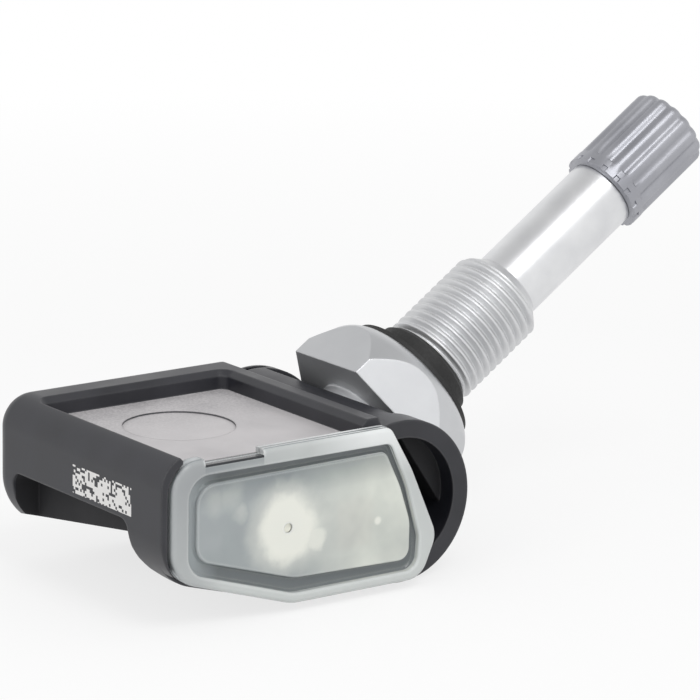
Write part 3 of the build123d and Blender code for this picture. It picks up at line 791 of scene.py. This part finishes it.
# Valve stem
# One piece of aluminium bar, turned to the shank, flange, neck, thread and tube, with a milled hex flange.
# The rim's clamp nut runs on the coarse thread, and the cap on the fine thread at the nose.
stem_tilt = math.radians(34.5)
stem_axis = Vector((0.0, math.cos(stem_tilt), math.sin(stem_tilt)))
thread_middle = 0.02295
flange_heights = (0.0072, 0.0142)
seat_heights = (0.0070, 0.0074)
thread_start = 0.0172
thread_end = 0.0302
thread_pitch = 0.00104
thread_root = 0.00502
thread_crest = 0.00555
thread_lead_in = 0.0049
lead_in_slope = 1.2
flank_offset = 1.3
flank_slope = 2.9
tube_radius = 0.00405
tube_end = 0.0463
nose_pitch = 0.000794
nose_root = 0.00345
nose_crest = 0.00380
nose_radius = 0.00340
nose_end = 0.0564
aluminium_light = (0.77, 0.775, 0.785, 1)
aluminium_dark = (0.68, 0.685, 0.70, 1)
flange_grey = (0.44, 0.45, 0.465, 1)
thread_grey = (0.52, 0.525, 0.53, 1)

turned_lines, lines_in, lines_out = new_group("turned_lines", ["Pitch lines"], ["Height", "Shade"])
upright = turned_lines.nodes.new("ShaderNodeMapping")
upright.inputs["Rotation"].default_value = (math.pi / 2 - stem_tilt, 0, 0)
feed(turned_lines, own_place(turned_lines), upright.inputs["Vector"])
along = split(turned_lines, upright.outputs["Vector"])[2]
ridges = turned_lines.nodes.new("ShaderNodeTexNoise")
ridges.noise_dimensions = "1D"
ridges.inputs["Detail"].default_value = 2.0
feed(turned_lines, along, ridges.inputs["W"])
feed(turned_lines, lines_in.outputs["Pitch lines"], ridges.inputs["Scale"])
feed(turned_lines, ridges.outputs[0], lines_out.inputs["Height"])
feed(turned_lines, noise(turned_lines, own_place(turned_lines), 260.0, 4.0), lines_out.inputs["Shade"])


def turned_finish(name, light, dark, lines, low, high, edge):
    """Metal as it leaves the lathe: fine rings round the stem's axis."""
    finish, tree, shader = start_finish(name)
    marks = use_group(tree, turned_lines, **{"Pitch lines": lines})
    shade = spread(tree, marks["Shade"], 0.0, 1.0)
    feed(tree, tint(tree, shade, light, dark), shader.inputs["Base Color"])
    feed(tree, remap(tree, marks["Height"], 0.25, 0.75, low, high), shader.inputs["Roughness"])
    shader.inputs["Metallic"].default_value = 1.0
    soft_edges(tree, shader, marks["Height"], 0.12, 0.00003, edge)
    return finish


def height_on_stem(point):
    """Distance along the stem from the cradle's axis, and from the stem's axis."""
    along = point.dot(stem_axis)
    return along + thread_middle, (point - stem_axis * along).length


def corners(piece, part):
    """Places of a face's or an edge's corners along and off the stem."""
    return [height_on_stem(piece.data.vertices[index].co) for index in part.vertices]


def thread_ridge(height, turn, pitch, root, crest):
    """Radius of a screw thread with flattened crests, at a height and a part of a turn."""
    phase = (height / pitch - turn) % 1.0
    ridge = min(1.0, max(0.0, flank_offset - flank_slope * abs(phase - 0.5)))
    return root + (crest - root) * ridge


def rim_screw(height, turn):
    """Outside of the coarse thread, its chamfer and the smooth tube above it."""
    if height > thread_end:
        return tube_radius
    ridge = thread_ridge(height, turn, thread_pitch, thread_root, thread_crest)
    lead_in = thread_lead_in + (height - thread_start) * lead_in_slope
    return min(ridge, tube_radius + (thread_end - height), lead_in)


def nose_screw(height, turn):
    """Outside of the fine thread that the cap runs on."""
    ridge = thread_ridge(height, turn, nose_pitch, nose_root, nose_crest)
    return min(ridge, nose_radius + (nose_end - height))


def turn_outside(stem, start, end, least, segments, cuts, profile):
    """Takes off the plain outside between two heights and turns it afresh to a profile."""
    slack = 0.00002
    margin = 0.00003

    def plain_outside(face):
        places = corners(stem, face)
        heights = [height for height, radius in places]
        radii = [radius for height, radius in places]
        return min(heights) > start - slack and max(heights) < end + slack and min(radii) > least - slack

    pick(stem, "FACE", plain_outside)
    bpy.ops.mesh.delete(type="FACE")
    bpy.ops.object.mode_set(mode="OBJECT")
    bpy.ops.object.select_all(action="DESELECT")
    bpy.ops.mesh.primitive_cylinder_add(
        vertices=segments, radius=least, depth=end - start - 2 * margin, end_fill_type="NOTHING",
        location=stem_axis * ((start + end) / 2 - thread_middle), rotation=(stem_tilt - math.pi / 2, 0, 0),
    )
    sleeve = bpy.context.active_object
    bpy.ops.object.transform_apply(location=True, rotation=True, scale=True)

    def lengthways(edge):
        low, high = corners(sleeve, edge)
        return abs(low[0] - high[0]) > margin

    for number in cuts:
        pick(sleeve, "EDGE", lengthways)
        bpy.ops.mesh.subdivide(number_cuts=number)
        bpy.ops.object.mode_set(mode="OBJECT")
    across = Vector((1, 0, 0))
    upward = stem_axis.cross(across)
    for vertex in sleeve.data.vertices:
        height = height_on_stem(vertex.co)[0]
        middle = stem_axis * vertex.co.dot(stem_axis)
        outward = (vertex.co - middle).normalized()
        turn = math.atan2(outward.dot(upward), outward.dot(across)) / (2 * math.pi)
        vertex.co = middle + outward * profile(height, turn)
    show_only(stem)
    sleeve.select_set(True)
    bpy.ops.object.join()
    for ring_height in (start, end):
        uses = {}
        for face in stem.data.polygons:
            for key in face.edge_keys:
                uses[key] = uses.get(key, 0) + 1
        loose = {edge.index for edge in stem.data.edges if uses.get(edge.key, 0) == 1}

        def open_ring(edge):
            heights = [height for height, radius in corners(stem, edge)]
            return edge.index in loose and all(abs(height - ring_height) < 4 * margin for height in heights)

        pick(stem, "EDGE", open_ring)
        bpy.ops.mesh.bridge_edge_loops()
        bpy.ops.object.mode_set(mode="OBJECT")


stem = merged_copy("valve_stem", "turned_stem")
turn_outside(stem, thread_start, tube_end, tube_radius, 128, (20, 15), rim_screw)
turn_outside(stem, tube_end, nose_end, nose_radius, 72, (11, 11), nose_screw)
turn_outwards(stem)
bpy.ops.object.shade_smooth_by_angle(angle=math.radians(20))
stem_finish = turned_finish("turned_aluminium", aluminium_light, aluminium_dark, 9000.0, 0.30, 0.38, 0.0002)
tree = stem_finish.node_tree
shader = tree.nodes["Principled BSDF"]
x, y, z = split(tree, own_place(tree))
along = calc(tree, "ADD", calc(tree, "MULTIPLY", y, stem_axis.y), calc(tree, "MULTIPLY", z, stem_axis.z))
along = calc(tree, "ADD", along, thread_middle)
on_thread = within(tree, along, thread_start - 4 * skin, thread_end + skin)
on_flange = within(tree, along, *flange_heights)
bare = shader.inputs["Base Color"].links[0].from_socket
milled = tint(tree, calc(tree, "MULTIPLY", on_flange, 0.6), bare, flange_grey)
cut = tint(tree, calc(tree, "MULTIPLY", on_thread, 0.3), milled, thread_grey)
feed(tree, cut, shader.inputs["Base Color"])
on_seat = within(tree, along, *seat_heights)
smooth = shader.inputs["Roughness"].links[0].from_socket
smooth = calc(tree, "ADD", smooth, calc(tree, "MULTIPLY", on_seat, 0.32))
feed(tree, calc(tree, "ADD", smooth, calc(tree, "MULTIPLY", on_thread, 0.14)), shader.inputs["Roughness"])
coat(stem, stem_finish)
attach(stem, "sensor")
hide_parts("valve_stem")

# Rubber seal
# Black rubber grommet, slipped over the stem's neck, that the rim hole squeezes against the flange.
rubber_dark = (0.008, 0.008, 0.008, 1)
rubber_light = (0.020, 0.020, 0.020, 1)
rubber_finish, tree, shader = start_finish("black_rubber")
grain = use_group(tree, mould_grain, Size=3600.0)
feed(tree, tint(tree, grain["Shade"], rubber_dark, rubber_light), shader.inputs["Base Color"])
feed(tree, spread(tree, grain["Height"], 0.55, 0.72), shader.inputs["Roughness"])
soft_edges(tree, shader, grain["Height"], 0.2, 0.00004, 0.00012)
dress("rubber_seal", rubber_finish)

# Cross screw insert and valve core
# Turned brass: the insert is pressed into the cradle, and the core screws into the stem's nose.
# Two red rubber seals close the core, one round its barrel and one on its pin.
brass_light = (0.78, 0.62, 0.33, 1)
brass_dark = (0.62, 0.46, 0.22, 1)
brass_finish = turned_finish("turned_brass", brass_light, brass_dark, 12000.0, 0.22, 0.34, 0.00008)
for brass_node in ("screw_insert", "core_barrel", "core_pin"):
    dress(brass_node, brass_finish)

red_dark = (0.28, 0.04, 0.035, 1)
red_light = (0.42, 0.08, 0.06, 1)
red_finish = moulded_finish("red_rubber", 5000.0, red_dark, red_light, 0.6, 0.15, 0.00002)
dress("core_seal", red_finish)
dress("pin_seal", red_finish)

# Valve cap
# Grey cap moulded in metal-filled plastic, with rounded flutes round it and a toothed skirt.
# It screws on the nose over a soft sealing disc.
cap_radius = 0.00486
cap_bore = 0.00386
cap_skirt = 0.04635
cap_inside_top = 0.0572
cap_end = 0.0582
cap_edge = 0.0010
cap_steps = 8
bore_corner = 0.0003
mouth_corner = 0.0004
skirt_chamfer = 0.0001
rib_count = 16
points_a_rib = 16
flute_depth = 0.00028
cap_dark = (0.33, 0.335, 0.365, 1)
cap_light = (0.41, 0.415, 0.445, 1)
flute_start = cap_skirt + 0.0015
tooth_top = cap_skirt + 0.0007
tooth_depth = 0.00014
tooth_gap = 0.32
hair = 0.00001
cap_inside = [
    (0.0, cap_inside_top), (cap_bore - bore_corner, cap_inside_top), (cap_bore, cap_inside_top),
    (cap_bore, cap_skirt + mouth_corner), (cap_bore, cap_skirt),
]


def cap_outside():
    """Radius and height of the cap's outside, from under its skirt to the middle of its top."""
    points = [(cap_radius - 2 * skirt_chamfer, cap_skirt), (cap_radius, cap_skirt + skirt_chamfer)]
    for height in (tooth_top - hair, tooth_top + hair, flute_start - hair, flute_start + 2 * skirt_chamfer):
        points.append((cap_radius, height))
    straight = cap_end - cap_edge - flute_start
    for step in range(1, cap_steps + 1):
        points.append((cap_radius, flute_start + straight * step / cap_steps))
    for step in range(1, cap_steps + 1):
        angle = math.pi / 2 * step / cap_steps
        radius = cap_radius - cap_edge * (1 - math.cos(angle))
        points.append((radius, cap_end - cap_edge * (1 - math.sin(angle))))
    return points + [(cap_radius / 2, cap_end), (0.0, cap_end)]


def flute_cut(radius, height, turn):
    """How far the flutes and the gaps between the skirt's teeth go in, at one place of the outside."""
    across = abs((turn * rib_count) % 1.0 - 0.5) * 2
    if height < tooth_top:
        return tooth_depth if across < tooth_gap and height < tooth_top - hair / 2 else 0.0
    if height < flute_start:
        return 0.0
    share = radius / cap_radius
    return flute_depth * share * math.cos(math.pi / 2 * across) ** 3


outline = cap_inside + cap_outside()
cap = ringed_tube("fluted_cap", rib_count * points_a_rib, len(outline))
across = Vector((1, 0, 0))
upward = stem_axis.cross(across)
for vertex in cap.data.vertices:
    step = round(vertex.co.z * (len(outline) - 1))
    radius, height = outline[step]
    angle = math.atan2(vertex.co.y, vertex.co.x)
    if step >= len(cap_inside) and radius > cap_radius - cap_edge - hair:
        radius -= flute_cut(radius, height, angle / (2 * math.pi))
    outward = across * math.cos(angle) + upward * math.sin(angle)
    vertex.co = stem_axis * (height - thread_middle) + outward * radius
turn_outwards(cap)
bpy.ops.object.shade_smooth_by_angle(angle=math.radians(35))

cap_finish, tree, shader = start_finish("cap_plastic")
grain = use_group(tree, mould_grain, Size=4200.0)
shade = spread(tree, grain["Shade"], 0.0, 1.0)
feed(tree, tint(tree, shade, cap_dark, cap_light), shader.inputs["Base Color"])
feed(tree, spread(tree, grain["Shade"], 0.40, 0.46), shader.inputs["Roughness"])
shader.inputs["Metallic"].default_value = 0.9
soft_edges(tree, shader, grain["Height"], 0.03, 0.00002)
coat(cap, cap_finish)
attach(cap, "cap")
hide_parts("valve_cap")
dress("cap_seal", rubber_finish)

# Studio floor, light and camera
# A pale sweep lit by one large soft lamp from the right, a fill from the left and a bright room.
floor_radius = 2.5
floor_grey = (0.86, 0.86, 0.86, 1)
floor_fade = (0.10, 0.26)
floor_glow = (0.75, 1.0)
bpy.ops.object.select_all(action="DESELECT")
bpy.ops.mesh.primitive_circle_add(
    vertices=128, radius=floor_radius, fill_type="NGON", location=(0, 0, cad_low.z)
)
floor = bpy.context.active_object
floor.name = "studio_floor"
bpy.ops.object.transform_apply(location=True, rotation=True, scale=True)
floor_finish, tree, shader = start_finish("studio_floor")
shader.inputs["Base Color"].default_value = floor_grey
shader.inputs["Roughness"].default_value = 0.9
shader.inputs["Specular IOR Level"].default_value = 0.0
glow = tree.nodes.new("ShaderNodeEmission")
ways = tree.nodes.new("ShaderNodeLightPath")
seen = calc(tree, "MAXIMUM", ways.outputs["Is Camera Ray"], ways.outputs["Is Glossy Ray"])
seen = calc(tree, "MAXIMUM", seen, ways.outputs["Is Transmission Ray"])
reach = tree.nodes.new("ShaderNodeVectorMath")
reach.operation = "LENGTH"
feed(tree, own_place(tree), reach.inputs[0])
share = remap(tree, reach.outputs["Value"], *floor_fade, *floor_glow)
blend = tree.nodes.new("ShaderNodeMixShader")
feed(tree, calc(tree, "MULTIPLY", share, seen), blend.inputs[0])
feed(tree, shader.outputs[0], blend.inputs[1])
feed(tree, glow.outputs[0], blend.inputs[2])
feed(tree, blend.outputs[0], tree.nodes["Material Output"].inputs["Surface"])
coat(floor, floor_finish)

room_light = 0.74
ceiling_heights = (0.45, 0.95)
ceiling_light = (1.0, 0.64)
world = bpy.data.worlds.new("studio_room")
bpy.context.scene.world = world
world.use_nodes = True
tree = world.node_tree
ways = tree.nodes.new("ShaderNodeLightPath")
mirrored = calc(tree, "MAXIMUM", ways.outputs["Is Glossy Ray"], ways.outputs["Is Transmission Ray"])
height = split(tree, tree.nodes.new("ShaderNodeTexCoord").outputs["Generated"])[2]
ceiling = remap(tree, height, *ceiling_heights, *ceiling_light)
strength = calc(tree, "MULTIPLY_ADD", mirrored, calc(tree, "SUBTRACT", ceiling, room_light), room_light)
room = tree.nodes["Background"]
room.inputs["Color"].default_value = (1, 1, 1, 1)
feed(tree, calc(tree, "MAXIMUM", strength, ways.outputs["Is Camera Ray"]), room.inputs["Strength"])


def soft_lamp(name, way, distance, size, power):
    """Large square lamp, turned to the object."""
    lamp = bpy.data.lights.new(name, "AREA")
    lamp.size = size
    lamp.energy = power
    holder = bpy.data.objects.new(name, lamp)
    bpy.context.scene.collection.objects.link(holder)
    direction = Vector(way).normalized()
    holder.location = direction * distance
    holder.rotation_euler = direction.to_track_quat("Z", "Y").to_euler()


soft_lamp("key_lamp", (0.60, -0.14, 0.79), 0.50, 0.20, 0.72)
soft_lamp("fill_lamp", (0.25, -0.85, 0.45), 0.60, 0.35, 0.6)

camera_right = Vector((0.59080, 0.80664, 0.01694))
camera_up = Vector((-0.20328, 0.12850, 0.97065))
camera_back = Vector((0.78079, -0.57691, 0.23989))
camera_place = Vector((0.359111, -0.280383, 0.110138))
camera_data = bpy.data.cameras.new("camera")
camera_data.sensor_width = 36.0
camera_data.lens = 220.5
camera_data.clip_start = 0.01
camera_data.clip_end = 20.0
camera = bpy.data.objects.new("camera", camera_data)
bpy.context.scene.collection.objects.link(camera)
camera.matrix_world = Matrix.Translation(camera_place) @ Matrix(
    (camera_right, camera_up, camera_back)
).transposed().to_4x4()
bpy.context.scene.camera = camera
bpy.context.scene.view_settings.view_transform = "Standard"
